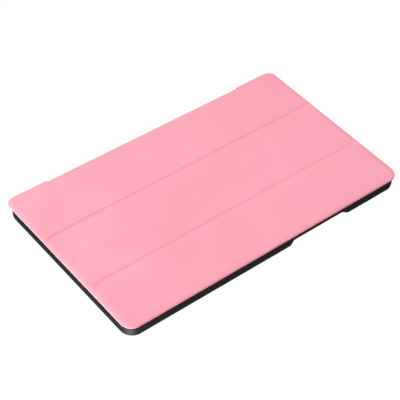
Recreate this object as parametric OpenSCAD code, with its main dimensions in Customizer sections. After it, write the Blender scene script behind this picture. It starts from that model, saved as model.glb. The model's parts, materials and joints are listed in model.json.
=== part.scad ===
// Slim folding case for a small tablet: a moulded back shell holds the tablet,
// and a three-panel cover of leather-look sheet over boards is glued to it along one long side.
// X runs along the case, +Y points to the spine, and +Z to the cover.

/* [Tablet] */
// Length of the tablet
tablet_l = 215.5; // [205:0.5:225]
// Width of the tablet
tablet_w = 124.2; // [118:0.1:130]
// Thickness of the tablet
tablet_t = 7.3; // [6.8:0.1:8]
// Free space between the tablet and the shell's walls
fit_gap = 0.25; // [0.15:0.05:0.4]

/* [Shell] */
// Thickness of the side walls
wall_t = 1.1; // [0.9:0.1:1.4]
// Thickness of the floor
floor_t = 1.3; // [1.2:0.1:1.6]
// Radius of the shell's corners in plan
shell_corner_r = 9; // [8:0.5:11]
// Radius of the rounded lower edge
lower_edge_r = 4; // [3.5:0.1:4.5]
// Height of the lip above the tablet
lip_h = 0.6; // [0.5:0.1:0.8]
// Reach of the lip over the tablet's face
lip_reach = 0.8; // [0.5:0.1:1]
// Bevel on the rim's outer edge
rim_bevel = 0.4; // [0.2:0.1:0.5]
// Height of the short walls between the corners
short_wall_h = 6.2; // [5.5:0.1:7]
// Length of each full-height corner along the short side
corner_block_l = 17; // [14:0.5:22]
// Depth by which the short walls stand back from the corners
short_wall_inset = 0.4; // [0.2:0.1:0.5]

/* [Button window] */
// Left end of the window under the bar
window_x0 = 18; // [10:0.5:25]
// Length of the window under the bar
window_l = 41; // [30:0.5:50]
// Slope length of the window's left end
window_ramp = 3.5; // [2:0.5:5]
// Slope length of the window's right end, toward the camera hole
window_far_ramp = 10; // [3:0.5:12]
// Underside of the bar over the window
window_top = 6.7; // [6:0.1:7.2]
// Depth of the window from the shell's front face
window_depth = 4.8; // [4.5:0.1:5.5]

/* [Ports and camera] */
// Width of the charging notch
charge_notch_w = 13; // [11:0.5:16]
// Width of the headphone notch
phone_notch_w = 9; // [8:0.5:11]
// Place of the headphone notch along Y
phone_notch_y = 34; // [28:1:38]
// Sill height of both notches
notch_sill = 2.8; // [2.5:0.1:3.5]
// Radius of the camera hole
camera_r = 5.5; // [4.5:0.5:6.5]
// Place of the camera hole along X
camera_x = 93; // [85:1:96]
// Place of the camera hole along Y
camera_y = -48; // [-50:1:-42]

/* [Cover] */
// Length of the cover
cover_l = 219.4; // [219:0.1:229.5]
// Width of the cover from its free edge to its back flanges
cover_w = 128.8; // [128:0.1:135]
// Radius of the corners at the free edge
front_corner_r = 8; // [6:0.5:10]
// Radius of the corners at the back flanges
back_corner_r = 5.8; // [4:0.2:7]
// Thickness of the outer skin
skin_t = 0.6; // [0.5:0.05:0.7]
// Thickness of the stiffening boards
board_t = 0.8; // [0.7:0.05:1]
// Thickness of the lining
lining_t = 0.4; // [0.3:0.05:0.5]
// Free space between the rim and the cover
cover_gap = 0.4; // [0.3:0.1:0.6]
// Width of the skin turned round each board's edge
turn_w = 0.6; // [0.5:0.1:0.8]
// Place of the crease nearer the spine
crease_1_y = 22.5; // [18:0.5:26]
// Place of the crease nearer the free edge
crease_2_y = -24; // [-28:0.5:-20]
// Soft width of each crease
crease_w = 5; // [4.5:0.5:6]

/* [Spine] */
// Half the length of the spine flap
flap_half_l = 78.5; // [70:0.5:85]
// Width of the skin strip glued to the shell's back
strip_w = 14; // [10:1:20]
// Thickness of the adhesive film
glue_t = 0.15; // [0.1:0.05:0.2]
// Outer radius of the bend under the spine
lower_bend_r = 5.2; // [5:0.1:5.5]
// Outer radius of the bend over the spine
upper_bend_r = 2.5; // [2.2:0.1:3]
// Free space between the spine and the shell
spine_gap = 0.3; // [0.3:0.1:0.6]

/* [Magnets] */
// Length of each fold magnet
magnet_l = 15; // [10:1:20]
// Width of each fold magnet
magnet_w = 5; // [4:0.5:7]
// Distance of the fold magnets from the middle
magnet_x = 62; // [50:1:75]
// Length of the wake magnet
wake_l = 8; // [6:1:12]

/* [Hidden] */
$fn = 64;

// Shell heights and half sizes
tablet_top = floor_t + tablet_t;
rim_z = tablet_top + lip_h;
shell_half_l = tablet_l / 2 + fit_gap + wall_t;
shell_half_w = tablet_w / 2 + fit_gap + wall_t;
cavity_edge_r = lower_edge_r - wall_t;
cavity_corner_r = shell_corner_r - wall_t;

// Cover heights
cover_z = rim_z + cover_gap;
board_z = cover_z + lining_t;
skin_z = board_z + board_t;
cover_top = skin_z + skin_t;

// Plan edges of the cover
free_edge_y = -cover_w / 2;
flange_y = cover_w / 2;

// Spine section: its outer face stands 0.6 mm inside the flanges
spine_step = 0.6;
spine_outer_y = flange_y - spine_step;
spine_lining_t = 0.3;
spine_inner_y = spine_outer_y - skin_t - spine_lining_t;
shell_back_y = spine_inner_y - spine_gap;
shell_y = shell_back_y - shell_half_w;
shell_front_y = shell_back_y - 2 * shell_half_w;

// Centres of the two bends
lower_bend_y = spine_outer_y - lower_bend_r;
lower_bend_z = lower_bend_r;
upper_bend_y = spine_outer_y - upper_bend_r;
upper_bend_z = cover_top - upper_bend_r;

// Panel edges along Y
panel_a_y0 = crease_1_y + crease_w / 2;
panel_b_y1 = crease_1_y - crease_w / 2;
panel_b_y0 = crease_2_y + crease_w / 2;
panel_c_y1 = crease_2_y - crease_w / 2;

// Creases: the skin and the lining lie together, below the panels' faces
crease_skin_z = skin_z - skin_t;
crease_lining_t = 0.3;
crease_lining_z = crease_skin_z - crease_lining_t;

// Relief in the back rim under the flanges
flange_relief_h = 1.6;
flange_relief_d = 1.2;

// Places of the steel keepers near the spine and of the magnets near the free edge
magnet_inset = 3.5;
keeper_y = upper_bend_y - turn_w - magnet_inset - magnet_w / 2;
magnet_y = free_edge_y + turn_w + magnet_inset + magnet_w / 2;
wake_x = 88;
wake_y = -40;
wake_w = 4;

skin_colour = [0.99, 0.64, 0.72];
lining_colour = [0.22, 0.22, 0.24];
shell_colour = [0.10, 0.10, 0.11];
board_colour = [0.62, 0.60, 0.55];
metal_colour = [0.72, 0.73, 0.75];
glue_colour = [0.88, 0.87, 0.80];

// Half of a wall's section: rounded at the foot, bevelled at the top
module half_section(reach, foot_r, bevel, h) {
    polygon([[0, foot_r], [reach, foot_r], [reach, h - bevel], [reach - bevel, h], [0, h]]);
    square([reach - foot_r, h]);
    translate([reach - foot_r, foot_r]) circle(foot_r);
}

// Quarter block for one plan corner, with its corner outwards
module dish_corner(corner_r, foot_r, bevel, h) {
    rotate_extrude(angle = 90) half_section(corner_r, foot_r, bevel, h);
}

// Straight stretch along X, as wide as 2 * reach
module dish_stretch(l, reach, foot_r, bevel, h) {
    translate([l / 2, 0, 0])
    rotate([90, 0, -90])
    linear_extrude(l)
    union() {
        half_section(reach, foot_r, bevel, h);
        mirror([1, 0]) half_section(reach, foot_r, bevel, h);
    }
}

// Rounded block with a rounded lower edge all round
module dish(half_l, half_w, corner_r, foot_r, bevel, h) {
    inner_l = half_l - corner_r;
    inner_w = half_w - corner_r;
    dish_stretch(2 * inner_l, half_w, foot_r, bevel, h);
    rotate([0, 0, 90]) dish_stretch(2 * inner_w, half_l, foot_r, bevel, h);
    for (turn = [0:3]) {
        x = (turn == 0 || turn == 3 ? 1 : -1) * inner_l;
        y = (turn < 2 ? 1 : -1) * inner_w;
        translate([x, y, 0]) rotate([0, 0, 90 * turn]) dish_corner(corner_r, foot_r, bevel, h);
    }
}

// Flat rectangle with rounded corners, centred
module round_rect(l, w, r) {
    square([l, w - 2 * r], center = true);
    square([l - 2 * r, w], center = true);
    for (x = [-1, 1], y = [-1, 1])
        translate([x * (l / 2 - r), y * (w / 2 - r)]) circle(r);
}

// Bar along X with its section given in the YZ plane
module along_x(half_l) {
    translate([-half_l, 0, 0]) rotate([90, 0, 90]) linear_extrude(2 * half_l) children();
}

// Quarter ring in the YZ plane, drawn flat: top or bottom quarter on the +Y side
module quarter_ring(y, z, outer_r, inner_r, top) {
    intersection() {
        translate([y, z]) difference() {
            circle(outer_r);
            circle(inner_r);
        }
        translate([y, top ? z : z - outer_r - 1]) square([outer_r + 1, outer_r + 1]);
    }
}

// Window under the bar on the free long side, with sloping ends
module button_window() {
    x1 = window_x0 + window_l;
    translate([0, shell_front_y + window_depth, 0])
    rotate([90, 0, 0])
    linear_extrude(window_depth + 1)
    polygon([
        [window_x0 - window_ramp, -1], [x1 + window_far_ramp, -1],
        [x1 + window_far_ramp, 0], [x1, window_top],
        [window_x0, window_top], [window_x0 - window_ramp, 0]
    ]);
}

// Cut that lowers and sets back one short wall between its corner blocks
module short_wall_cut() {
    cut_w = 2 * (shell_half_w - corner_block_l);
    translate([shell_half_l - short_wall_inset, shell_y - cut_w / 2, -1])
        cube([1 + short_wall_inset, cut_w, rim_z + 2]);
    translate([shell_half_l - wall_t - lip_reach - 0.5, shell_y - cut_w / 2, short_wall_h])
        cube([wall_t + lip_reach + 1.5, cut_w, rim_z]);
}

// Notch through the right-hand wall for a plug
module port_notch(y, w) {
    translate([shell_half_l - wall_t - 1, y - w / 2, notch_sill])
        cube([wall_t + 3, w, rim_z]);
}

// Room for the glued strip and the bend under the spine
module spine_recess() {
    half_l = flap_half_l + spine_gap;
    depth = skin_t + glue_t;
    translate([-half_l, lower_bend_y - strip_w, -1])
        cube([2 * half_l, strip_w, depth + 1]);
    along_x(half_l)
    difference() {
        translate([lower_bend_y, -1]) square([lower_bend_r + 1, lower_bend_z + 1]);
        translate([lower_bend_y, lower_bend_z]) circle(lower_bend_r - depth);
    }
}

// Relief that lets the cover's back flanges swing past the rim
module flange_relief() {
    reach = shell_half_l - shell_corner_r - flap_half_l;
    translate([flap_half_l + spine_gap, shell_back_y - flange_relief_d, rim_z - flange_relief_h])
        cube([reach + shell_corner_r, flange_relief_d + 1, flange_relief_h + 1]);
}

module back_shell() {
    color(shell_colour)
    difference() {
        translate([0, shell_y, 0])
            dish(shell_half_l, shell_half_w, shell_corner_r, lower_edge_r, rim_bevel, rim_z);
        translate([0, shell_y, floor_t])
            dish(shell_half_l - wall_t, shell_half_w - wall_t, cavity_corner_r, cavity_edge_r, 0, tablet_t);
        translate([0, shell_y, floor_t + tablet_t / 2])
            linear_extrude(tablet_t)
            round_rect(
                2 * (shell_half_l - wall_t - lip_reach),
                2 * (shell_half_w - wall_t - lip_reach),
                cavity_corner_r - lip_reach
            );
        button_window();
        short_wall_cut();
        mirror([1, 0, 0]) short_wall_cut();
        port_notch(shell_y, charge_notch_w);
        port_notch(phone_notch_y, phone_notch_w);
        translate([camera_x, camera_y, -1]) cylinder(h = floor_t + 2, r = camera_r);
        spine_recess();
        flange_relief();
        mirror([1, 0, 0]) flange_relief();
    }
}

// Strip outline with its two free corners rounded
module strip_plan(half_l, w) {
    r = 3;
    translate([0, lower_bend_y - w]) {
        translate([-half_l, r]) square([2 * half_l, w - r]);
        translate([-half_l + r, 0]) square([2 * (half_l - r), r + 1]);
        for (x = [-1, 1]) translate([x * (half_l - r), r]) circle(r);
    }
}

module spine_adhesive() {
    color(glue_colour)
    translate([0, 0, skin_t]) linear_extrude(glue_t) strip_plan(flap_half_l - 1, strip_w - 1.5);
}

module skin_back_strip() {
    color(skin_colour)
    linear_extrude(skin_t) strip_plan(flap_half_l, strip_w - 0.5);
}

module skin_bend_lower() {
    color(skin_colour)
    along_x(flap_half_l)
    quarter_ring(lower_bend_y, lower_bend_z, lower_bend_r, lower_bend_r - skin_t, false);
}

module skin_spine() {
    color(skin_colour)
    translate([-flap_half_l, spine_outer_y - skin_t, lower_bend_z])
        cube([2 * flap_half_l, skin_t, upper_bend_z - lower_bend_z]);
}

module lining_spine() {
    color(lining_colour)
    translate([-flap_half_l, spine_inner_y, lower_bend_z])
        cube([2 * flap_half_l, spine_lining_t, upper_bend_z - lower_bend_z]);
}

module skin_bend_upper() {
    color(skin_colour)
    along_x(flap_half_l)
    quarter_ring(upper_bend_y, upper_bend_z, upper_bend_r, upper_bend_r - skin_t, true);
}

module lining_bend_upper() {
    outer_r = upper_bend_r - skin_t;
    color(lining_colour)
    along_x(flap_half_l)
    quarter_ring(upper_bend_y, upper_bend_z, outer_r, outer_r - spine_lining_t, true);
}

// Plan of the whole cover: rounded corners, and the spine flap's part of the back edge cut in
module cover_plan() {
    half_l = cover_l / 2;
    difference() {
        union() {
            translate([-half_l, free_edge_y + front_corner_r])
                square([cover_l, cover_w - front_corner_r - back_corner_r]);
            translate([-half_l + front_corner_r, free_edge_y])
                square([cover_l - 2 * front_corner_r, front_corner_r + 1]);
            translate([-half_l + back_corner_r, flange_y - back_corner_r - 1])
                square([cover_l - 2 * back_corner_r, back_corner_r + 1]);
            for (x = [-1, 1]) {
                translate([x * (half_l - front_corner_r), free_edge_y + front_corner_r])
                    circle(front_corner_r);
                translate([x * (half_l - back_corner_r), flange_y - back_corner_r])
                    circle(back_corner_r);
            }
        }
        translate([-flap_half_l - spine_gap, upper_bend_y])
            square([2 * (flap_half_l + spine_gap), cover_w]);
    }
}

// Plan of one panel, between two places along Y
module panel_plan(y0, y1) {
    intersection() {
        cover_plan();
        translate([-cover_l, y0]) square([2 * cover_l, y1 - y0]);
    }
}

// The same plan, a turned edge's width smaller: its corners keep the same centres
module inner_plan(y0, y1) {
    half_l = cover_l / 2 - turn_w;
    front_r = front_corner_r - turn_w;
    back_r = back_corner_r - turn_w;
    intersection() {
        difference() {
            union() {
                translate([-half_l, free_edge_y + front_corner_r])
                    square([2 * half_l, cover_w - front_corner_r - back_corner_r]);
                translate([-half_l + front_r, free_edge_y + turn_w])
                    square([2 * (half_l - front_r), front_r + 1]);
                translate([-half_l + back_r, flange_y - back_corner_r - 1])
                    square([2 * (half_l - back_r), back_r + 1]);
                for (x = [-1, 1]) {
                    translate([x * (half_l - front_r), free_edge_y + front_corner_r]) circle(front_r);
                    translate([x * (half_l - back_r), flange_y - back_corner_r]) circle(back_r);
                }
            }
            translate([-flap_half_l - spine_gap - turn_w, upper_bend_y - turn_w])
                square([2 * (flap_half_l + spine_gap + turn_w), cover_w]);
        }
        translate([-cover_l, y0 + turn_w]) square([2 * cover_l, y1 - y0 - 2 * turn_w]);
    }
}

// Outer skin of a panel, turned down round its edges to the lining's face
module skin_panel(y0, y1) {
    color(skin_colour)
    difference() {
        translate([0, 0, cover_z]) linear_extrude(cover_top - cover_z) panel_plan(y0, y1);
        translate([0, 0, cover_z - 1]) linear_extrude(skin_z - cover_z + 1) inner_plan(y0, y1);
    }
}

// Stiffening board of a panel, with windows for what is set into it
module board_panel(y0, y1) {
    color(board_colour)
    translate([0, 0, board_z]) linear_extrude(board_t)
    difference() {
        inner_plan(y0, y1);
        children();
    }
}

module lining_panel(y0, y1) {
    color(lining_colour)
    translate([0, 0, cover_z]) linear_extrude(lining_t) inner_plan(y0, y1);
}

// Soft strip that joins two panels' skins
module skin_crease(y) {
    color(skin_colour)
    translate([-cover_l / 2, y - crease_w / 2, crease_skin_z]) cube([cover_l, crease_w, skin_t]);
}

module lining_crease(y) {
    half_l = cover_l / 2 - turn_w;
    color(lining_colour)
    translate([-half_l, y - crease_w / 2, crease_lining_z])
        cube([2 * half_l, crease_w, crease_lining_t]);
}

// Plan of the pair of bars
module bar_pair_plan(y) {
    for (x = [-1, 1]) translate([x * magnet_x, y]) square([magnet_l, magnet_w], center = true);
}

module wake_plan() {
    translate([wake_x, wake_y]) square([wake_l, wake_w], center = true);
}

module skin_panel_a() {
    skin_panel(panel_a_y0, flange_y);
}

module board_panel_a() {
    board_panel(panel_a_y0, flange_y) bar_pair_plan(keeper_y);
}

module lining_panel_a() {
    lining_panel(panel_a_y0, flange_y);
}

module keeper_plates() {
    color(metal_colour)
    translate([0, 0, board_z]) linear_extrude(board_t) bar_pair_plan(keeper_y);
}

module skin_panel_b() {
    skin_panel(panel_b_y0, panel_b_y1);
}

module board_panel_b() {
    board_panel(panel_b_y0, panel_b_y1);
}

module lining_panel_b() {
    lining_panel(panel_b_y0, panel_b_y1);
}

module skin_panel_c() {
    skin_panel(free_edge_y, panel_c_y1);
}

module board_panel_c() {
    board_panel(free_edge_y, panel_c_y1) {
        bar_pair_plan(magnet_y);
        wake_plan();
    }
}

module lining_panel_c() {
    lining_panel(free_edge_y, panel_c_y1);
}

module fold_magnets() {
    color(metal_colour)
    translate([0, 0, board_z]) linear_extrude(board_t) bar_pair_plan(magnet_y);
}

module wake_magnet() {
    color(metal_colour)
    translate([0, 0, board_z]) linear_extrude(board_t) wake_plan();
}

back_shell();
spine_adhesive();
skin_back_strip();
skin_bend_lower();
skin_spine();
lining_spine();
skin_bend_upper();
lining_bend_upper();
skin_panel_a();
board_panel_a();
lining_panel_a();
keeper_plates();
skin_crease(crease_1_y);  // skin_crease_1
lining_crease(crease_1_y);  // lining_crease_1
skin_panel_b();
board_panel_b();
lining_panel_b();
skin_crease(crease_2_y);  // skin_crease_2
lining_crease(crease_2_y);  // lining_crease_2
skin_panel_c();
board_panel_c();
lining_panel_c();
fold_magnets();
wake_magnet();
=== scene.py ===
import json
import math

import bmesh
import bpy
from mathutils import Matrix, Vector


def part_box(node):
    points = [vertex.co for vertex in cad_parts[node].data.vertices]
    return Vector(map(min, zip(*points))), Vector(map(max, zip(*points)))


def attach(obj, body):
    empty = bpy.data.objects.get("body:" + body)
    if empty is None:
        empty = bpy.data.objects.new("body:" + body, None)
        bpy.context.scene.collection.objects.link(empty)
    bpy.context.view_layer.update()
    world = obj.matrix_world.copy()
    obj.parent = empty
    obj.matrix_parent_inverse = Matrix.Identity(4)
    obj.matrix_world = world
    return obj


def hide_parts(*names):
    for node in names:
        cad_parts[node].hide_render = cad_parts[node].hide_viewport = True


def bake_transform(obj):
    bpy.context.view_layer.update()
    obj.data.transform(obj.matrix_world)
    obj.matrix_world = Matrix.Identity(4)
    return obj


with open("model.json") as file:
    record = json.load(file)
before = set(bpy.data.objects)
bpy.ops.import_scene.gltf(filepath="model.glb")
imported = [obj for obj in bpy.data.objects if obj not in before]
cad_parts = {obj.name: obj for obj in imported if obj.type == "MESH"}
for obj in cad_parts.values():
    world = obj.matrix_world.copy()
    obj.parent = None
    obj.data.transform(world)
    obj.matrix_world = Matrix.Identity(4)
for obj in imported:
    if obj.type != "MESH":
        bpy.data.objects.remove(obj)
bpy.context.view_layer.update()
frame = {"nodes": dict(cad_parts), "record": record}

# A slim folding case for a tablet, closed and empty: a moulded shell, and a cover of leather-look skin over
# boards and lining, which folds at two creases and at its spine. X runs along the case, Y towards the spine.

MM = 0.001


# ---------------------------------------------------------------- places, all from the frame

skin_a_lo, skin_a_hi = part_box("skin_panel_a")
skin_b_lo, skin_b_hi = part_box("skin_panel_b")
skin_c_lo, skin_c_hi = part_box("skin_panel_c")
shell_lo, shell_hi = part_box("back_shell")
spine_lo, spine_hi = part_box("skin_spine")
strip_lo, strip_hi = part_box("skin_back_strip")
upper_lo, upper_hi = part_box("skin_bend_upper")
lower_lo, lower_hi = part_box("skin_bend_lower")
spine_lining_lo, spine_lining_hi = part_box("lining_spine")
lining_lo, lining_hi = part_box("lining_panel_b")

# How far the cover's back edge is drawn in
BACK_EDGE_IN = 0.35 * MM
COVER_LO = Vector(skin_c_lo)
COVER_HI = Vector((skin_a_hi.x, skin_a_hi.y - BACK_EDGE_IN, skin_a_hi.z))
CREASE_1 = (skin_a_lo.y + skin_b_hi.y) / 2
CREASE_2 = (skin_b_lo.y + skin_c_hi.y) / 2
# Half length of the spine's flap, and the slit between it and the cover's flanges
FLAP_HALF = spine_hi.x
FLAP_SLIT = 0.12 * MM

# Reach of each crease piece to either side of its crease, onto the flat of the panels
CREASE_FAR = 5.0 * MM
CREASE_NEAR = 7.5 * MM
# Flat length by which the bend pieces run on past their curves, onto the spine and onto the cover
RUN_ON = 0.6 * MM
PANEL_RUN_ON = 1.0 * MM
# Number of lengths that the spine's sheets are divided into
SPINE_LENGTHS = 12

# Places this close together count as one
TOUCH = 0.001 * MM


# ---------------------------------------------------------------- modelling helpers

def only(obj):
    """Selects one object and nothing else, and makes it active."""
    if bpy.context.mode != "OBJECT":
        bpy.ops.object.mode_set(mode="OBJECT")
    bpy.ops.object.select_all(action="DESELECT")
    obj.select_set(True)
    bpy.context.view_layer.objects.active = obj


def edit(obj, kind):
    """Opens one object for editing, with nothing selected."""
    only(obj)
    bpy.ops.object.mode_set(mode="EDIT")
    bpy.ops.mesh.select_mode(type=kind)
    bpy.ops.mesh.select_all(action="DESELECT")


def done():
    """Closes editing."""
    bpy.ops.object.mode_set(mode="OBJECT")


def near(a, b, gap=TOUCH):
    return abs(a - b) < gap


def pick(obj, kind, test):
    """In edit mode, selects the vertices, edges or faces for which test is true."""
    bpy.ops.mesh.select_mode(type=kind)
    bpy.ops.mesh.select_all(action="DESELECT")
    mesh = bmesh.from_edit_mesh(obj.data)
    found = {"VERT": mesh.verts, "EDGE": mesh.edges, "FACE": mesh.faces}[kind]
    for item in found:
        if test(item):
            item.select_set(True)
    mesh.select_flush_mode()
    bmesh.update_edit_mesh(obj.data)


def middle(item):
    """Centre of an edge or a face."""
    return sum((v.co for v in item.verts), Vector()) / len(item.verts)


def block(name, lo, hi):
    """A cube from one corner to the other, with its place in its mesh."""
    lo, hi = Vector(lo), Vector(hi)
    if bpy.context.mode != "OBJECT":
        done()
    bpy.ops.object.select_all(action="DESELECT")
    bpy.ops.mesh.primitive_cube_add(size=1, location=(lo + hi) / 2, scale=hi - lo)
    obj = bpy.context.active_object
    obj.name = name
    obj.data.name = name
    bpy.ops.object.transform_apply(location=True, rotation=True, scale=True)
    return obj


def runs_along(edge, axis):
    """True for an edge that goes more than a millimetre along an axis."""
    return abs(edge.verts[0].co[axis] - edge.verts[1].co[axis]) > 1 * MM


def is_upright(edge):
    """True for an edge that stands, or nearly does, however short it is."""
    a, b = (v.co for v in edge.verts)
    return abs(a.z - b.z) > 0.5 * (a - b).length


def at_level(item, z):
    """True if all corners of an edge or a face lie at height z."""
    return all(near(v.co.z, z) for v in item.verts)


def on_rim(z):
    """A test for edges that lie at height z, between a level face and a side face."""
    def test(edge):
        if not at_level(edge, z):
            return False
        level = [abs(f.normal.z) > 0.9 for f in edge.link_faces]
        return any(level) and not all(level)
    return test


def bevel(obj, test, width, segments, kind="EDGE"):
    """Rounds the edges, or the corners, for which test is true."""
    edit(obj, kind)
    pick(obj, kind, test)
    affect = "VERTICES" if kind == "VERT" else "EDGES"
    bpy.ops.mesh.bevel(offset=width, segments=segments, profile=0.5, affect=affect)
    done()


def round_block(name, lo, hi, front_r, back_r, segments):
    """A block whose upright edges are rounded: one radius at the front, one at the back."""
    obj = block(name, lo, hi)
    centre_y = (lo[1] + hi[1]) / 2
    bevel(obj, lambda e: is_upright(e) and middle(e).y < centre_y, front_r, segments)
    bevel(obj, lambda e: is_upright(e) and near(middle(e).y, hi[1], 0.1 * MM), back_r, segments)
    return obj


def rod(place, radius, length, sides, turn_y=0.0):
    """A round bar round a place, standing unless it is turned about Y."""
    bpy.ops.object.select_all(action="DESELECT")
    bpy.ops.mesh.primitive_cylinder_add(vertices=sides, radius=radius, depth=length, location=place,
                                        rotation=(0, turn_y, 0))
    obj = bpy.context.active_object
    bpy.ops.object.transform_apply(location=True, rotation=True, scale=True)
    return obj


def bisect(obj, place, normal, clear_inner=False, clear_outer=False, fill=False):
    """Cuts the whole mesh by a plane; the outer side is the one that the normal points to."""
    edit(obj, "VERT")
    bpy.ops.mesh.select_all(action="SELECT")
    bpy.ops.mesh.bisect(plane_co=place, plane_no=normal, clear_inner=clear_inner,
                        clear_outer=clear_outer, use_fill=fill, threshold=TOUCH / 100)
    done()


def unit(axis):
    """The unit vector along an axis, given by its number."""
    return Vector([1.0 if i == axis else 0.0 for i in range(3)])


def lines_across(obj, axis, places):
    """Adds an edge line round the mesh at each place along an axis."""
    normal = unit(axis)
    for place in places:
        bisect(obj, normal * place, normal)


def slab(obj, axis, low, high, fill=False):
    """Keeps only what lies between two places along an axis. None stands for no limit."""
    normal = unit(axis)
    if low is not None:
        bisect(obj, normal * low, normal, clear_inner=True, fill=fill)
    if high is not None:
        bisect(obj, normal * high, normal, clear_outer=True, fill=fill)


def duplicate(obj, name):
    """A copy with a mesh of its own."""
    copy = obj.copy()
    copy.data = obj.data.copy()
    copy.name = name
    copy.data.name = name
    bpy.context.scene.collection.objects.link(copy)
    return copy


def discard(*objs):
    for obj in objs:
        bpy.data.objects.remove(obj)


def modify(obj, kind, **settings):
    """Adds a modifier with these settings and applies it."""
    only(obj)
    modifier = obj.modifiers.new(kind.lower(), kind)
    for key, value in settings.items():
        setattr(modifier, key, value)
    bpy.ops.object.modifier_apply(modifier=modifier.name)


def carve(obj, *cutters):
    """Cuts the cutters out of the object, and removes them."""
    for cutter in cutters:
        modify(obj, "BOOLEAN", object=cutter, operation="DIFFERENCE", solver="EXACT")
        discard(cutter)


def smooth(obj, angle=40):
    """Shades smooth across edges up to this angle."""
    only(obj)
    bpy.ops.object.shade_smooth_by_angle(angle=math.radians(angle))


def ease(t):
    """Smooth step from 0 to 1."""
    t = min(1.0, max(0.0, t))
    return t * t * (3 - 2 * t)


def steps(low, high, count):
    """Evenly spaced places between two ends, without the ends."""
    return [low + (high - low) * i / count for i in range(1, count)]


def part_of(sheet, name, keep):
    """A copy of only those faces of a sheet whose middle passes the test."""
    piece = duplicate(sheet, name)
    edit(piece, "FACE")
    pick(piece, "FACE", lambda f: not keep(middle(f)))
    bpy.ops.mesh.delete(type="FACE")
    done()
    return piece


def thicken(piece, thickness):
    """Gives an open sheet its thickness, on the inner side."""
    modify(piece, "SOLIDIFY", thickness=thickness, offset=-1, use_even_offset=True, use_rim=True)


# ---------------------------------------------------------------- camera, light and floor

CAMERA_AZIMUTH = math.radians(42.297)
CAMERA_ELEVATION = math.radians(45.239)
CAMERA_ROLL = math.radians(4.686)
CAMERA_DISTANCE = 0.81155
CAMERA_TARGET = Vector((-7.1, -2.75, 6.15)) * MM
CAMERA_SENSOR = 36
CAMERA_LENS = 115.304

# Strength of the dome at its lowest and highest, and the heights between which it rises
DOME_LOW, DOME_HIGH = 0.06, 0.86
DOME_FROM, DOME_TO = -0.25, 0.9
BACKDROP_STRENGTH = 1.03

FLOOR_SIZE = 6
FLOOR_DROP = 0.2 * MM
# Share of the light that the floor sends back; the rest goes through it
FLOOR_SHARE = 0.13


def aim(obj, target):
    """Turns a light's or a camera's eye to a place."""
    obj.rotation_euler = (Vector(target) - obj.location).to_track_quat("-Z", "Y").to_euler()


def make_camera():
    forward = Vector((
        math.sin(CAMERA_AZIMUTH) * math.cos(CAMERA_ELEVATION),
        math.cos(CAMERA_AZIMUTH) * math.cos(CAMERA_ELEVATION),
        -math.sin(CAMERA_ELEVATION),
    ))
    data = bpy.data.cameras.new("camera")
    data.sensor_width = CAMERA_SENSOR
    data.lens = CAMERA_LENS
    camera = bpy.data.objects.new("camera", data)
    bpy.context.scene.collection.objects.link(camera)
    camera.location = CAMERA_TARGET - forward * CAMERA_DISTANCE
    level = forward.to_track_quat("-Z", "Y").to_matrix()
    right, up = level.col[0], level.col[1]
    rolled = level.copy()
    rolled.col[0] = right * math.cos(CAMERA_ROLL) + up * math.sin(CAMERA_ROLL)
    rolled.col[1] = up * math.cos(CAMERA_ROLL) - right * math.sin(CAMERA_ROLL)
    camera.rotation_euler = rolled.to_euler()
    bpy.context.scene.camera = camera


def area_light(name, place, target, size, watts, colour=(1, 1, 1)):
    """A soft round light at a place, turned to its target."""
    data = bpy.data.lights.new(name, "AREA")
    data.shape = "DISK"
    data.size = size
    data.energy = watts
    data.color = colour
    light = bpy.data.objects.new(name, data)
    bpy.context.scene.collection.objects.link(light)
    light.location = place
    aim(light, target)


def make_world():
    """A white backdrop to the eye; for light, a dome that is bright overhead and dim below the table."""
    world = bpy.data.worlds.new("studio")
    bpy.context.scene.world = world
    world.use_nodes = True
    nodes, links = world.node_tree.nodes, world.node_tree.links
    nodes.clear()
    out = nodes.new("ShaderNodeOutputWorld")
    mix = nodes.new("ShaderNodeMixShader")
    path = nodes.new("ShaderNodeLightPath")
    dome = nodes.new("ShaderNodeBackground")
    dome.inputs["Color"].default_value = (0.98, 0.99, 1.0, 1)
    direction = nodes.new("ShaderNodeTexCoord")
    split = nodes.new("ShaderNodeSeparateXYZ")
    links.new(direction.outputs["Generated"], split.inputs["Vector"])
    height = spread(nodes, links, split.outputs["Z"], DOME_LOW, DOME_HIGH)
    height.inputs["From Min"].default_value = DOME_FROM
    height.inputs["From Max"].default_value = DOME_TO
    links.new(height.outputs["Result"], dome.inputs["Strength"])
    seen = nodes.new("ShaderNodeBackground")
    seen.inputs["Color"].default_value = (1, 1, 1, 1)
    seen.inputs["Strength"].default_value = BACKDROP_STRENGTH
    links.new(path.outputs["Is Camera Ray"], mix.inputs["Fac"])
    links.new(dome.outputs["Background"], mix.inputs[1])
    links.new(seen.outputs["Background"], mix.inputs[2])
    links.new(mix.outputs["Shader"], out.inputs["Surface"])


def make_floor():
    """A pale floor that sends a little light up. The camera sees past it to the white backdrop, so that
    panels that fold below it still show."""
    bpy.ops.object.select_all(action="DESELECT")
    bpy.ops.mesh.primitive_plane_add(size=FLOOR_SIZE, location=(0, 0, -FLOOR_DROP))
    floor = bpy.context.active_object
    floor.name = "floor"
    material = bpy.data.materials.new("pale_floor")
    material.use_nodes = True
    nodes, links = material.node_tree.nodes, material.node_tree.links
    nodes.clear()
    out = nodes.new("ShaderNodeOutputMaterial")
    mix = nodes.new("ShaderNodeMixShader")
    mix.inputs["Fac"].default_value = FLOOR_SHARE
    clear = nodes.new("ShaderNodeBsdfTransparent")
    pale = nodes.new("ShaderNodeBsdfDiffuse")
    pale.inputs["Color"].default_value = (0.9, 0.9, 0.9, 1)
    links.new(clear.outputs["BSDF"], mix.inputs[1])
    links.new(pale.outputs["BSDF"], mix.inputs[2])
    links.new(mix.outputs["Shader"], out.inputs["Surface"])
    floor.data.materials.append(material)
    floor.visible_camera = False


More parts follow.
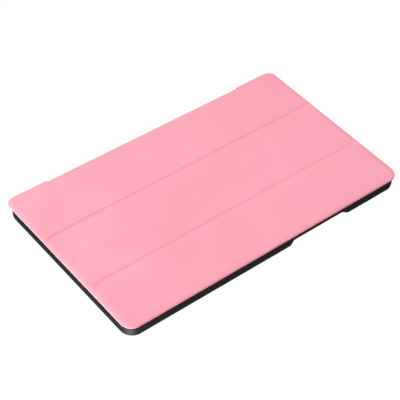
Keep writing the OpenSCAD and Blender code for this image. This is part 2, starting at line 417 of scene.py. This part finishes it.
# ---------------------------------------------------------------- materials

def new_material(name):
    """A new material, its nodes, its links and its shader."""
    material = bpy.data.materials.new(name)
    material.use_nodes = True
    tree = material.node_tree
    return material, tree.nodes, tree.links, tree.nodes["Principled BSDF"]


def noise(nodes, links, coordinates, scale, detail, roughness):
    node = nodes.new("ShaderNodeTexNoise")
    node.inputs["Scale"].default_value = scale
    node.inputs["Detail"].default_value = detail
    node.inputs["Roughness"].default_value = roughness
    links.new(coordinates, node.inputs["Vector"])
    return node


# Noise stays mostly between these two values, so a colour ramp runs from one to the other
NOISE_LOW, NOISE_HIGH = 0.3, 0.7


def ramp(nodes, links, factor, low, high):
    """Goes from one colour to another as the noise rises."""
    node = nodes.new("ShaderNodeValToRGB")
    node.color_ramp.elements[0].position = NOISE_LOW
    node.color_ramp.elements[1].position = NOISE_HIGH
    node.color_ramp.elements[0].color = (*low, 1)
    node.color_ramp.elements[1].color = (*high, 1)
    links.new(factor, node.inputs["Fac"])
    return node


def spread(nodes, links, factor, low, high):
    """Maps a 0 to 1 value onto a range."""
    node = nodes.new("ShaderNodeMapRange")
    node.inputs["To Min"].default_value = low
    node.inputs["To Max"].default_value = high
    links.new(factor, node.inputs["Value"])
    return node


def bump(nodes, links, height, strength, distance, onto=None):
    """Raises the surface by a height, on top of another bump if one is given."""
    node = nodes.new("ShaderNodeBump")
    node.inputs["Strength"].default_value = strength
    node.inputs["Distance"].default_value = distance
    links.new(height, node.inputs["Height"])
    if onto is not None:
        links.new(onto.outputs["Normal"], node.inputs["Normal"])
    return node


def place_node(nodes):
    """Places in the object's own space."""
    return nodes.new("ShaderNodeTexCoord").outputs["Object"]


def make_cover_skin():
    """Pink leather-look sheet: fine pebbled grain, satin face, faint clouding."""
    material, nodes, links, shader = new_material("pink_leather_look_sheet")
    place = place_node(nodes)
    clouds = noise(nodes, links, place, 28, 3, 0.6)
    colour = ramp(nodes, links, clouds.outputs["Fac"], (0.905, 0.336, 0.416), (0.930, 0.372, 0.453))
    links.new(colour.outputs["Color"], shader.inputs["Base Color"])
    fine = noise(nodes, links, place, 900, 4, 0.6)
    handled = noise(nodes, links, place, 11, 2, 0.5)
    dullness = nodes.new("ShaderNodeMath")
    dullness.operation = "ADD"
    grain_share = spread(nodes, links, fine.outputs["Fac"], 0.18, 0.30)
    handled_share = spread(nodes, links, handled.outputs["Fac"], 0.16, 0.34)
    links.new(grain_share.outputs["Result"], dullness.inputs[0])
    links.new(handled_share.outputs["Result"], dullness.inputs[1])
    links.new(dullness.outputs["Value"], shader.inputs["Roughness"])
    pebbles = nodes.new("ShaderNodeTexVoronoi")
    pebbles.feature = "SMOOTH_F1"
    pebbles.inputs["Scale"].default_value = 1500
    pebbles.inputs["Smoothness"].default_value = 0.6
    links.new(place, pebbles.inputs["Vector"])
    grain = bump(nodes, links, pebbles.outputs["Distance"], 0.55, 0.09 * MM)
    soft = bump(nodes, links, fine.outputs["Fac"], 0.25, 0.10 * MM, grain)
    links.new(soft.outputs["Normal"], shader.inputs["Normal"])
    shader.inputs["Specular IOR Level"].default_value = 0.42
    return material


def make_lining():
    """Charcoal microfibre: short nap with a soft sheen and brushed patches."""
    material, nodes, links, shader = new_material("charcoal_microfibre")
    place = place_node(nodes)
    patches = noise(nodes, links, place, 60, 5, 0.65)
    colour = ramp(nodes, links, patches.outputs["Fac"], (0.030, 0.030, 0.034), (0.052, 0.052, 0.058))
    links.new(colour.outputs["Color"], shader.inputs["Base Color"])
    nap = noise(nodes, links, place, 2600, 6, 0.7)
    links.new(bump(nodes, links, nap.outputs["Fac"], 0.5, 0.12 * MM).outputs["Normal"],
              shader.inputs["Normal"])
    shader.inputs["Roughness"].default_value = 0.95
    shader.inputs["Specular IOR Level"].default_value = 0.15
    shader.inputs["Sheen Weight"].default_value = 0.08
    shader.inputs["Sheen Roughness"].default_value = 0.3
    return material


def make_shell_plastic():
    """Black moulded plastic with a fine spark-eroded texture."""
    material, nodes, links, shader = new_material("black_moulded_shell")
    place = place_node(nodes)
    mottle = noise(nodes, links, place, 90, 4, 0.6)
    colour = ramp(nodes, links, mottle.outputs["Fac"], (0.0055, 0.0058, 0.0062), (0.0085, 0.0088, 0.0094))
    links.new(colour.outputs["Color"], shader.inputs["Base Color"])
    texture = noise(nodes, links, place, 3200, 3, 0.5)
    rough = spread(nodes, links, texture.outputs["Fac"], 0.52, 0.68)
    links.new(rough.outputs["Result"], shader.inputs["Roughness"])
    links.new(bump(nodes, links, texture.outputs["Fac"], 0.5, 0.05 * MM).outputs["Normal"],
              shader.inputs["Normal"])
    shader.inputs["Specular IOR Level"].default_value = 0.34
    return material


def make_board():
    """Grey pressed board with short fibres."""
    material, nodes, links, shader = new_material("grey_pressed_board")
    place = place_node(nodes)
    fibres = noise(nodes, links, place, 700, 6, 0.7)
    colour = ramp(nodes, links, fibres.outputs["Fac"], (0.26, 0.245, 0.21), (0.42, 0.40, 0.35))
    links.new(colour.outputs["Color"], shader.inputs["Base Color"])
    links.new(bump(nodes, links, fibres.outputs["Fac"], 0.4, 0.1 * MM).outputs["Normal"],
              shader.inputs["Normal"])
    shader.inputs["Roughness"].default_value = 0.9
    return material


def make_steel():
    """Nickel-plated steel, brushed along X: its noise is squeezed along Y and Z."""
    material, nodes, links, shader = new_material("plated_steel")
    coordinates = nodes.new("ShaderNodeTexCoord")
    stretch = nodes.new("ShaderNodeMapping")
    stretch.inputs["Scale"].default_value = (1, 24, 24)
    links.new(coordinates.outputs["Object"], stretch.inputs["Vector"])
    lines = noise(nodes, links, stretch.outputs["Vector"], 120, 4, 0.6)
    rough = spread(nodes, links, lines.outputs["Fac"], 0.25, 0.42)
    links.new(rough.outputs["Result"], shader.inputs["Roughness"])
    links.new(bump(nodes, links, lines.outputs["Fac"], 0.2, 0.03 * MM).outputs["Normal"],
              shader.inputs["Normal"])
    shader.inputs["Base Color"].default_value = (0.60, 0.61, 0.63, 1)
    shader.inputs["Metallic"].default_value = 1.0
    return material


def make_adhesive():
    """Milky adhesive film."""
    material, nodes, links, shader = new_material("milky_adhesive")
    place = place_node(nodes)
    haze = noise(nodes, links, place, 220, 3, 0.6)
    colour = ramp(nodes, links, haze.outputs["Fac"], (0.66, 0.63, 0.54), (0.74, 0.72, 0.64))
    links.new(colour.outputs["Color"], shader.inputs["Base Color"])
    shader.inputs["Roughness"].default_value = 0.35
    return material


def dress(obj, material):
    """Gives an object one material in place of what it has."""
    obj.data.materials.clear()
    obj.data.materials.append(material)


# ---------------------------------------------------------------- the cover's outer skin

# The border slopes down by its drop to the rolled edge; the skin is turned in by its margin underneath
BORDER_W = 2.6 * MM
BORDER_DROP = 0.42 * MM
BORDER_R = 0.7 * MM
EDGE_ROLL = 0.42 * MM
UNDER_EDGE_R = 0.45 * MM
TURNED_W = 2.6 * MM
SKIN_T = 0.4 * MM
FRONT_R = 8.0 * MM
BACK_R = 5.8 * MM
CROWN = 0.10 * MM
CROWN_FLATNESS = 6

# Depth of each crease in the face, and the rise of the underside below it
GROOVE_1_DEPTH = 0.56 * MM
GROOVE_2_DEPTH = 0.46 * MM
UNDER_GROOVE = 0.20 * MM
# Section of a crease, from its middle: a flat bottom, a steep far wall and a long near slope
BOTTOM_FAR = -0.8 * MM
BOTTOM_NEAR = -1.4 * MM
FAR_WALL_W = 1.9 * MM
NEAR_SLOPE_W = 5.8 * MM
NEAR_SLOPE_CURVE = 1.6
# Corners this far below the cover's middle height belong to its underside
UNDERSIDE_BELOW = 0.3 * MM
# Half width of the risen underside, and the width over which it falls back
UNDER_HALF = 1.6 * MM
UNDER_SLOPE_W = 1.6 * MM
# Share of a crease's depth at its left end, and how much less it is at the right one
WORN_LEFT = 1.35
WORN_DROP = 0.6
# Where a crease begins to run in from each short edge, and the length over which it does
FADE_LEFT, FADE_LEFT_L = 1.5 * MM, 5.5 * MM
FADE_RIGHT, FADE_RIGHT_L = 0.8 * MM, 3.0 * MM

# Edge lines of the skin and of the lining, in mm from a crease's middle: close together where it bends
SKIN_CREASE_LINES = (-7.5, -6.8, -6.0, -5.2, -4.4, -3.7, -3.0, -2.4, -1.9, -1.4, -0.8, -0.5, -0.25,
                     0.0, 0.25, 0.5, 0.8, 1.1, 1.6, 2.3, 2.9, 3.5, 4.2, 5.0)
LINING_CREASE_LINES = (-7.5, -4.4, -3.4, -3.0, -2.6, -2.2, -1.8, -1.4, -0.7, 0.0,
                       0.7, 1.4, 1.8, 2.2, 2.6, 3.0, 3.4, 5.0)
# Edge lines near the short edges, in mm from them, and the number of lengths between the last two
LEFT_END_LINES = (1.5, 2.5, 3.5, 4.5, 5.5, 7.0, 9.0)
RIGHT_END_LINES = (0.8, 1.5, 2.2, 3.0, 3.8, 6.0, 9.0)
LENGTHS = 18


def groove(s):
    """Depth share of a crease at s past its middle, towards the spine."""
    if s >= BOTTOM_FAR:
        return 1 - ease((s - BOTTOM_FAR) / FAR_WALL_W)
    if s >= BOTTOM_NEAR:
        return 1.0
    return (1 - ease((BOTTOM_NEAR - s) / NEAR_SLOPE_W)) ** NEAR_SLOPE_CURVE


def under_groove(s):
    """Share by which the underside rises at s from a crease's middle."""
    return 1 - ease((abs(s) - UNDER_HALF) / UNDER_SLOPE_W)


def worn_in(x):
    """Share of a crease's depth at x."""
    return WORN_LEFT - WORN_DROP * (x - COVER_LO.x) / (COVER_HI.x - COVER_LO.x)


def fade(x):
    """Creases run out before the short edges, further from the left one."""
    left = ease((x - COVER_LO.x - FADE_LEFT) / FADE_LEFT_L)
    right = ease((COVER_HI.x - x - FADE_RIGHT) / FADE_RIGHT_L)
    return left * right


def crown(x, y):
    """Slight rise of each panel's middle over its board."""
    for low, high in ((COVER_LO.y, CREASE_2), (CREASE_2, CREASE_1), (CREASE_1, COVER_HI.y)):
        if low <= y <= high:
            across = 4 * (y - low) * (high - y) / (high - low) ** 2
            along = 1 - (abs(x) / COVER_HI.x) ** CROWN_FLATNESS
            return across * along
    return 0.0


def crease_lines(distances):
    """Places of the edge lines along Y at both creases."""
    return [crease + s * MM for crease in (CREASE_1, CREASE_2) for s in distances]


def panel_lines():
    """Places of the edge lines along Y on the panels, wide apart."""
    places = steps(COVER_LO.y + BORDER_W, CREASE_2 - CREASE_NEAR, 4)
    places += steps(CREASE_2 + CREASE_FAR, CREASE_1 - CREASE_NEAR, 5)
    places += steps(CREASE_1 + CREASE_FAR, COVER_HI.y - BORDER_W, 4)
    return places


def length_lines():
    """Places of the edge lines along X: close together where the creases run out."""
    left = [COVER_LO.x + d * MM for d in LEFT_END_LINES]
    right = [COVER_HI.x - d * MM for d in RIGHT_END_LINES]
    return left + right + steps(left[-1], right[-1], LENGTHS)


def underside_rise(y):
    """Rise of the cover's underside at y, over its whole height at a crease."""
    return sum(UNDER_GROOVE * under_groove(y - crease) for crease in (CREASE_1, CREASE_2))


def shape_creases(obj):
    """Presses the creases in from both faces and lifts the panels' middles a little."""
    mid_z = (COVER_LO.z + COVER_HI.z) / 2
    for v in obj.data.vertices:
        x, y = v.co.x, v.co.y
        share = fade(x)
        if v.co.z > mid_z:
            v.co.z += CROWN * crown(x, y)
            for crease, depth in ((CREASE_1, GROOVE_1_DEPTH), (CREASE_2, GROOVE_2_DEPTH)):
                v.co.z -= depth * groove(y - crease) * share * worn_in(x)
        elif v.co.z < mid_z - UNDERSIDE_BELOW:
            v.co.z += underside_rise(y) * share


def cover_form():
    """The whole cover as one open form: soft border, rolled edges, turned-in margin, creases."""
    form = round_block("cover_form", COVER_LO, COVER_HI, FRONT_R, BACK_R, 14)
    top = COVER_HI.z
    edit(form, "FACE")
    pick(form, "FACE", lambda f: f.normal.z > 0.9)
    bpy.ops.mesh.inset(thickness=BORDER_W, depth=0)
    bpy.ops.mesh.select_all(action="DESELECT")
    pick(form, "EDGE", on_rim(top))
    bpy.ops.transform.translate(value=(0, 0, -BORDER_DROP))
    done()
    bevel(form, lambda e: at_level(e, top - BORDER_DROP)
          and any(abs(f.normal.z) < 0.5 for f in e.link_faces), EDGE_ROLL, 4)
    bevel(form, lambda e: at_level(e, top) and any(f.normal.z < 0.9995 for f in e.link_faces), BORDER_R, 3)
    bevel(form, on_rim(COVER_LO.z), UNDER_EDGE_R, 3)
    edit(form, "FACE")
    pick(form, "FACE", lambda f: f.normal.z < -0.9 and len(f.verts) > 8)
    bpy.ops.mesh.inset(thickness=TURNED_W - UNDER_EDGE_R, depth=0)
    bpy.ops.mesh.delete(type="FACE")
    done()
    lines_across(form, 1, crease_lines(SKIN_CREASE_LINES) + panel_lines())
    lines_across(form, 0, length_lines())
    shape_creases(form)
    return form


def cut_flap_notch(obj):
    """Takes the back edge off along the spine flap, and closes the notch's two ends."""
    half = FLAP_HALF + FLAP_SLIT
    notch_y = upper_lo.y - PANEL_RUN_ON
    lines_across(obj, 1, [notch_y])
    lines_across(obj, 0, [-half, half])
    edit(obj, "FACE")
    pick(obj, "FACE", lambda f: abs(middle(f).x) < half and middle(f).y > notch_y)
    bpy.ops.mesh.delete(type="FACE")
    for side in (-1, 1):
        pick(obj, "VERT", lambda v: near(v.co.x, side * half, 2 * TOUCH) and v.co.y > notch_y - 2 * TOUCH)
        bpy.ops.mesh.edge_face_add()
    bpy.ops.mesh.select_all(action="SELECT")
    bpy.ops.mesh.normals_make_consistent(inside=False)
    done()


def cover_cuts(layer):
    """Each piece that a layer of the cover is cut into, from the front, with its two ends along Y."""
    return {
        f"panel_c_{layer}": (None, CREASE_2 - CREASE_NEAR),
        f"crease_2_{layer}": (CREASE_2 - CREASE_NEAR, CREASE_2 + CREASE_FAR),
        f"panel_b_{layer}": (CREASE_2 + CREASE_FAR, CREASE_1 - CREASE_NEAR),
        f"crease_1_{layer}": (CREASE_1 - CREASE_NEAR, CREASE_1 + CREASE_FAR),
        f"panel_a_{layer}": (CREASE_1 + CREASE_FAR, None),
    }


def finish_skin(obj, material, thickness=SKIN_T):
    """Gives an open skin its thickness and its finish."""
    thicken(obj, thickness)
    smooth(obj)
    dress(obj, material)


def make_cover(material):
    """The cover's skin: three panels, and the crease pieces between them."""
    form = cover_form()
    made = {}
    for name, (low, high) in cover_cuts("skin").items():
        piece = duplicate(form, name)
        slab(piece, 1, low, high)
        if name == "panel_a_skin":
            cut_flap_notch(piece)
        finish_skin(piece, material)
        made[name] = piece
    discard(form)
    for letter, margins in (("a", 1), ("b", 0), ("c", 1)):
        piece = made[f"panel_{letter}_skin"]
        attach(piece, f"panel_{letter}")
        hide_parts(f"skin_panel_{letter}")
    for number, back, front, y in ((1, "panel_a", "panel_b", CREASE_1), (2, "panel_b", "panel_c", CREASE_2)):
        piece = made[f"crease_{number}_skin"]
        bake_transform(piece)
        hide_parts(f"skin_crease_{number}")


# ---------------------------------------------------------------- the cover's lining

# How far the lining lies in from the cover's edges and from the spine's bend, and how far its lower face
# is drawn up
LINING_IN = TURNED_W + 0.05 * MM
LINING_BACK_IN = 0.1 * MM
LINING_LIFT = 0.03 * MM
LINING_BACK_R = 2.5 * MM
LINING_EDGE_R = 0.15 * MM


def lining_form():
    """The whole lining as one thin closed sheet, pressed in at the creases."""
    low = (COVER_LO.x + LINING_IN, COVER_LO.y + LINING_IN, lining_lo.z + LINING_LIFT)
    high = (COVER_HI.x - LINING_IN, upper_lo.y - LINING_BACK_IN, lining_hi.z)
    form = round_block("lining_form", low, high, FRONT_R - LINING_IN, LINING_BACK_R, 10)
    bevel(form, on_rim(low[2]), LINING_EDGE_R, 2)
    lines_across(form, 1, crease_lines(LINING_CREASE_LINES))
    lines_across(form, 0, [p for p in length_lines() if low[0] < p < high[0]])
    for v in form.data.vertices:
        v.co.z += underside_rise(v.co.y) * fade(v.co.x)
    return form


def finish_lining(obj, material):
    """Gives a piece of lining its finish."""
    smooth(obj)
    dress(obj, material)


def make_cover_lining(material, spine_end):
    """The cover's lining. spine_end, the pieces by which the same sheet goes on down the spine, is not used.
    """
    form = lining_form()
    made = {}
    for name, (low, high) in cover_cuts("lining").items():
        piece = duplicate(form, name)
        slab(piece, 1, low, high, fill=True)
        finish_lining(piece, material)
        made[name] = piece
    discard(form)
    for letter in "abc":
        piece = made[f"panel_{letter}_lining"]
        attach(piece, f"panel_{letter}")
        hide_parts(f"lining_panel_{letter}")
    for number, back, front, y in ((1, "panel_a", "panel_b", CREASE_1), (2, "panel_b", "panel_c", CREASE_2)):
        piece = made[f"crease_{number}_lining"]
        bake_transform(piece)
        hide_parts(f"lining_crease_{number}")


# ---------------------------------------------------------------- the spine

WRAP_T = 0.5 * MM
STRIP_CORNER_R = 3 * MM
SPINE_LINING_T = 0.28 * MM
# Radius of the lining's turn under the cover, and its gaps to the cover's lining and to the flap's ends
LINING_TURN_R = 1.05 * MM
LINING_TURN_GAP = 0.06 * MM
SPINE_LINING_IN = 0.3 * MM


def upright_sheet(name, half_l, y, low_z, high_z):
    """A flat sheet standing at y, facing +Y."""
    bpy.ops.object.select_all(action="DESELECT")
    bpy.ops.mesh.primitive_plane_add(size=1, location=(0, y, (low_z + high_z) / 2),
                                     rotation=(math.radians(-90), 0, 0))
    obj = bpy.context.active_object
    obj.name = name
    obj.data.name = name
    obj.scale = (2 * half_l, high_z - low_z, 1)
    bpy.ops.object.transform_apply(location=True, rotation=True, scale=True)
    return obj


def grow(obj, test, centre=None, angle=0.0, count=0, run=None):
    """Carries the picked edge on, by a vector or round an axis along X, up and over for a positive angle."""
    edit(obj, "EDGE")
    pick(obj, "EDGE", test)
    if centre is not None:
        bpy.ops.mesh.spin(steps=count, angle=angle, center=centre, axis=(-1, 0, 0))
    else:
        bpy.ops.mesh.extrude_region_move(TRANSFORM_OT_translate={"value": run})
    done()


def spine_wrap():
    """The skin from the cover's top face, over the spine and under the shell, as one open sheet."""
    sheet = upright_sheet("spine_wrap", FLAP_HALF, spine_hi.y, spine_lo.z, spine_hi.z)
    grow(sheet, lambda e: at_level(e, spine_hi.z),
         centre=(0, upper_lo.y, upper_lo.z), angle=math.radians(90), count=16)
    grow(sheet, lambda e: at_level(e, upper_hi.z), run=(0, -PANEL_RUN_ON, 0))
    grow(sheet, lambda e: at_level(e, spine_lo.z),
         centre=(0, lower_lo.y, lower_hi.z), angle=math.radians(-90), count=20)
    grow(sheet, lambda e: at_level(e, 0) and near(middle(e).y, lower_lo.y, 10 * TOUCH),
         run=(0, strip_lo.y - lower_lo.y, 0))
    return sheet


def weld(sheet):
    """Joins the corners that lie on one another."""
    edit(sheet, "VERT")
    bpy.ops.mesh.select_all(action="SELECT")
    bpy.ops.mesh.remove_doubles(threshold=TOUCH)
    done()


def face_out(sheet):
    """Turns an open sheet's faces so that the one standing at the spine faces +Y."""
    edit(sheet, "FACE")
    bpy.ops.mesh.select_all(action="SELECT")
    bpy.ops.mesh.normals_make_consistent(inside=False)
    mesh = bmesh.from_edit_mesh(sheet.data)
    spine_face = max(mesh.faces, key=lambda f: middle(f).y)
    if spine_face.normal.y < 0:
        bpy.ops.mesh.flip_normals()
    done()


def make_spine_skin(material):
    """The spine's skin, its two bends, and the strip that is glued under the shell."""
    sheet = spine_wrap()
    weld(sheet)
    face_out(sheet)
    bevel(sheet, lambda v: near(v.co.z, 0) and near(v.co.y, strip_lo.y, 10 * TOUCH),
          STRIP_CORNER_R, 8, "VERT")
    low_seam, high_seam = spine_lo.z + RUN_ON, spine_hi.z - RUN_ON
    strip_seam = lower_lo.y - RUN_ON
    lines_across(sheet, 0, steps(-FLAP_HALF, FLAP_HALF, SPINE_LENGTHS))
    lines_across(sheet, 2, [low_seam, high_seam])
    lines_across(sheet, 1, [strip_seam])
    pieces = {
        "upper_bend_skin": lambda c: c.z > high_seam,
        "spine_skin": lambda c: low_seam < c.z < high_seam,
        "lower_bend_skin": lambda c: c.z < low_seam and c.y > strip_seam,
        "back_strip_skin": lambda c: c.z < low_seam and c.y < strip_seam,
    }
    made = {}
    for name, keep in pieces.items():
        made[name] = part_of(sheet, name, keep)
        finish_skin(made[name], material, WRAP_T)
    discard(sheet)
    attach(made["spine_skin"], "spine")
    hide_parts("skin_spine")
    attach(made["back_strip_skin"], "shell")
    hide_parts("skin_back_strip")
    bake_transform(made["lower_bend_skin"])
    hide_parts("skin_bend_lower")
    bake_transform(made["upper_bend_skin"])
    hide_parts("skin_bend_upper")


def make_spine_lining(material):
    """The lining behind the spine, and its turn under the cover's back edge. Gives back its two pieces."""
    outer_y = spine_lining_hi.y
    panel_z = lining_hi.z - LINING_TURN_GAP
    turn_y, turn_z = outer_y - LINING_TURN_R, panel_z - LINING_TURN_R
    sheet = upright_sheet("lining_wrap", FLAP_HALF - SPINE_LINING_IN, outer_y, spine_lining_lo.z, turn_z)
    grow(sheet, lambda e: at_level(e, turn_z), centre=(0, turn_y, turn_z), angle=math.radians(90), count=10)
    grow(sheet, lambda e: at_level(e, panel_z), run=(0, upper_lo.y - turn_y, 0))
    weld(sheet)
    seam = spine_hi.z - RUN_ON
    lines_across(sheet, 0, steps(-FLAP_HALF, FLAP_HALF, SPINE_LENGTHS))
    lines_across(sheet, 2, [seam])
    face_out(sheet)
    made = []
    for name, keep in (("spine_lining", lambda c: c.z < seam), ("upper_bend_lining", lambda c: c.z > seam)):
        piece = part_of(sheet, name, keep)
        thicken(piece, SPINE_LINING_T)
        finish_lining(piece, material)
        if name == "spine_lining":
            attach(piece, "spine")
            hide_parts("lining_spine")
        else:
            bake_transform(piece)
            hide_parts("lining_bend_upper")
        made.append(piece)
    discard(sheet)
    return made


# ---------------------------------------------------------------- the back shell

SHELL_WALL = 1.1 * MM
SHELL_FLOOR = 1.3 * MM
SHELL_CORNER_R = 9 * MM
SHELL_FOOT_R = 4 * MM
SHELL_RIM_R = 0.4 * MM
SHELL_EDGE_R = 0.12 * MM
SHELL_MID_Y = (shell_lo.y + shell_hi.y) / 2
LIP_REACH = 0.8 * MM
LIP_UNDER = shell_hi.z - 0.6 * MM
MOUTH_BELOW = 2 * MM

# How far the button window goes past its stated opening, and the slope and rounding of its ends
WINDOW_SIDE = 0.8 * MM
WINDOW_ABOVE = 0.4 * MM
WINDOW_INWARD = 0.5 * MM
WINDOW_SLOPE_LEFT = 3.5 * MM
WINDOW_SLOPE_RIGHT = 10 * MM
WINDOW_R = 1.0 * MM

# The short walls are lower and set back between their corner blocks
CORNER_BLOCK = 17 * MM
SHORT_WALL_IN = 0.4 * MM
SHORT_WALL_Z = 6.2 * MM
SHORT_WALL_R = 1.5 * MM
SHORT_WALL_SPARE = 0.5 * MM

NOTCH_SPARE = 1 * MM
NOTCH_SILL = 2.8 * MM
NOTCH_R = 1.2 * MM

CAMERA_HOLE_R = 5.5 * MM
CAMERA_CUTTER_L = 10 * MM

# Room round the glued strip and the lower bend, and for the cover's flanges to swing past the back rim
STRIP_ROOM = 0.15 * MM
STRIP_ROOM_FRONT = 0.5 * MM
FLAP_ROOM = 0.3 * MM
FLANGE_ROOM_H = 1.6 * MM
FLANGE_ROOM_W = 1.2 * MM
FLANGE_ROOM_IN = 0.2 * MM

# How far a cutter stands out of what it cuts, so that no two faces lie on one another
OVER = 3 * MM


def opening_box(name):
    """A stated opening of the part, as its low and high corners."""
    for opening in frame["record"]["physics"]["openings"]:
        if opening["name"] == name:
            return Vector(opening["box_m"][0]), Vector(opening["box_m"][1])
    raise ValueError(name)


def pocket_cutters():
    """The room for the tablet, and the mouth between the snap lips."""
    inner_lo = Vector((shell_lo.x + SHELL_WALL, shell_lo.y + SHELL_WALL, SHELL_FLOOR))
    inner_hi = Vector((shell_hi.x - SHELL_WALL, shell_hi.y - SHELL_WALL, LIP_UNDER))
    corner_r = SHELL_CORNER_R - SHELL_WALL
    pocket = round_block("pocket", inner_lo, inner_hi, corner_r, corner_r, 14)
    bevel(pocket, on_rim(inner_lo.z), SHELL_FOOT_R - SHELL_WALL, 7)
    lips = Vector((LIP_REACH, LIP_REACH, 0))
    mouth_lo = Vector((inner_lo.x, inner_lo.y, LIP_UNDER - MOUTH_BELOW)) + lips
    mouth_hi = Vector((inner_hi.x, inner_hi.y, shell_hi.z + OVER)) - lips
    mouth = round_block("mouth", mouth_lo, mouth_hi, corner_r - LIP_REACH, corner_r - LIP_REACH, 14)
    return pocket, mouth


def button_window_cutter():
    """The window under the bar on the long free side. Its ends slope out towards its foot."""
    low, high = opening_box("button_window")
    left, right = low.x - WINDOW_SIDE, high.x + WINDOW_SIDE
    top = high.z + WINDOW_ABOVE
    window = block("window", (left, shell_lo.y - OVER, -OVER), (right, high.y + WINDOW_INWARD, top))
    lines_across(window, 2, [0])
    edit(window, "VERT")
    for end, slope in ((left, -WINDOW_SLOPE_LEFT), (right, WINDOW_SLOPE_RIGHT)):
        pick(window, "VERT", lambda v: v.co.z < TOUCH and near(v.co.x, end, 0.1 * MM))
        bpy.ops.transform.translate(value=(slope, 0, 0))
    done()
    bevel(window, lambda e: at_level(e, top) and runs_along(e, 1), WINDOW_R, 4)
    return window


def short_wall_cutters():
    """Cuts that lower and set back both short walls between their corner blocks."""
    cutters = []
    half = (shell_hi.y - shell_lo.y) / 2 - CORNER_BLOCK
    for side in (-1, 1):
        outer = side * shell_hi.x
        over = outer + side * OVER
        through = SHELL_WALL + LIP_REACH + SHORT_WALL_SPARE
        for depth, low_z in ((SHORT_WALL_IN, -OVER), (through, SHORT_WALL_Z)):
            inner = outer - side * depth
            low = (min(inner, over), SHELL_MID_Y - half, low_z)
            high = (max(inner, over), SHELL_MID_Y + half, shell_hi.z + OVER)
            cutter = block("short_wall", low, high)
            if low_z > 0:
                bevel(cutter, lambda e: at_level(e, low_z) and runs_along(e, 0), SHORT_WALL_R, 5)
            cutters.append(cutter)
    return cutters


def notch_cutters():
    """The two plug notches in the right-hand wall."""
    cutters = []
    for name in ("charge_notch", "phone_notch"):
        low, high = opening_box(name)
        cutter = block(name, (shell_hi.x - SHELL_WALL - NOTCH_SPARE, low.y - NOTCH_SPARE, NOTCH_SILL),
                       (shell_hi.x + OVER, high.y + NOTCH_SPARE, shell_hi.z + OVER))
        bevel(cutter, lambda e: at_level(e, NOTCH_SILL) and runs_along(e, 0), NOTCH_R, 5)
        cutters.append(cutter)
    return cutters


def camera_hole_cutter():
    """The hole for the tablet's camera, through the shell's floor."""
    low, high = opening_box("camera_hole")
    centre = (low + high) / 2
    return rod((centre.x, centre.y, 0), CAMERA_HOLE_R, CAMERA_CUTTER_L, 64)


def spine_recess_cutters():
    """Room under the shell for the glued strip, and round its back edge for the bend."""
    half = FLAP_HALF + FLAP_ROOM
    depth = strip_hi.z + STRIP_ROOM
    strip = block("strip_room", (-half, strip_lo.y - STRIP_ROOM_FRONT, -OVER), (half, lower_lo.y, depth))
    bend = block("bend_room", (-half, lower_lo.y, -OVER), (half, lower_hi.y + 1 * MM, lower_hi.z))
    core = rod((0, lower_lo.y, lower_hi.z), lower_hi.z - depth, 4 * half, 96, turn_y=math.radians(90))
    carve(bend, core)
    return strip, bend


def flange_relief_cutters():
    """Relief in the back rim, so that the cover's flanges swing past it."""
    cutters = []
    for side in (-1, 1):
        inner, outer = side * (FLAP_HALF - FLANGE_ROOM_IN), side * shell_hi.x
        low = (min(inner, outer), shell_hi.y - FLANGE_ROOM_W, shell_hi.z - FLANGE_ROOM_H)
        high = (max(inner, outer), shell_hi.y + OVER, shell_hi.z + OVER)
        cutters.append(block("flange_room", low, high))
    return cutters


def make_shell(material):
    """The tray that holds the tablet: a rounded block, hollowed out and cut by its openings."""
    shell = round_block("moulded_shell", shell_lo, shell_hi, SHELL_CORNER_R, SHELL_CORNER_R, 18)
    bevel(shell, on_rim(shell_lo.z), SHELL_FOOT_R, 10)
    bevel(shell, on_rim(shell_hi.z), SHELL_RIM_R, 2)
    carve(shell, *pocket_cutters(), *short_wall_cutters(), button_window_cutter(), *notch_cutters(),
          camera_hole_cutter(), *spine_recess_cutters(), *flange_relief_cutters())
    modify(shell, "BEVEL", width=SHELL_EDGE_R, segments=2, limit_method="ANGLE",
           angle_limit=math.radians(38), use_clamp_overlap=True)
    smooth(shell, 35)
    modify(shell, "WEIGHTED_NORMAL", keep_sharp=True)
    dress(shell, material)
    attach(shell, "shell")
    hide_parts("back_shell")


# ---------------------------------------------------------------- pieces that stay as the frame has them

def dress_inner_parts():
    """Gives the boards, the steel pieces and the adhesive their own finishes."""
    board, steel, film = make_board(), make_steel(), make_adhesive()
    finishes = {
        "board_panel_a": board, "board_panel_b": board, "board_panel_c": board,
        "keeper_plates": steel, "fold_magnets": steel, "wake_magnet": steel,
        "spine_adhesive": film,
    }
    for name, material in finishes.items():
        dress(frame["nodes"][name], material)


# ---------------------------------------------------------------- the whole scene

make_camera()
make_world()
make_floor()
area_light("key", place=(-1.15, 0.84, 0.95), target=(0, 0, 0), size=0.45, watts=21.5,
           colour=(1.0, 0.99, 0.97))
area_light("card", place=(-0.60, -0.25, 0.05), target=(-0.05, 0, 0), size=0.25, watts=1.6)
area_light("table_glow", place=(-0.42, -0.30, -0.40), target=(-0.08, -0.04, 0), size=0.28, watts=4.4)

bpy.context.scene.view_settings.view_transform = "Standard"
bpy.context.scene.view_settings.look = "None"

pink = make_cover_skin()
lining = make_lining()
make_cover(pink)
make_cover_lining(lining, make_spine_lining(lining))
make_spine_skin(pink)
make_shell(make_shell_plastic())
dress_inner_parts()
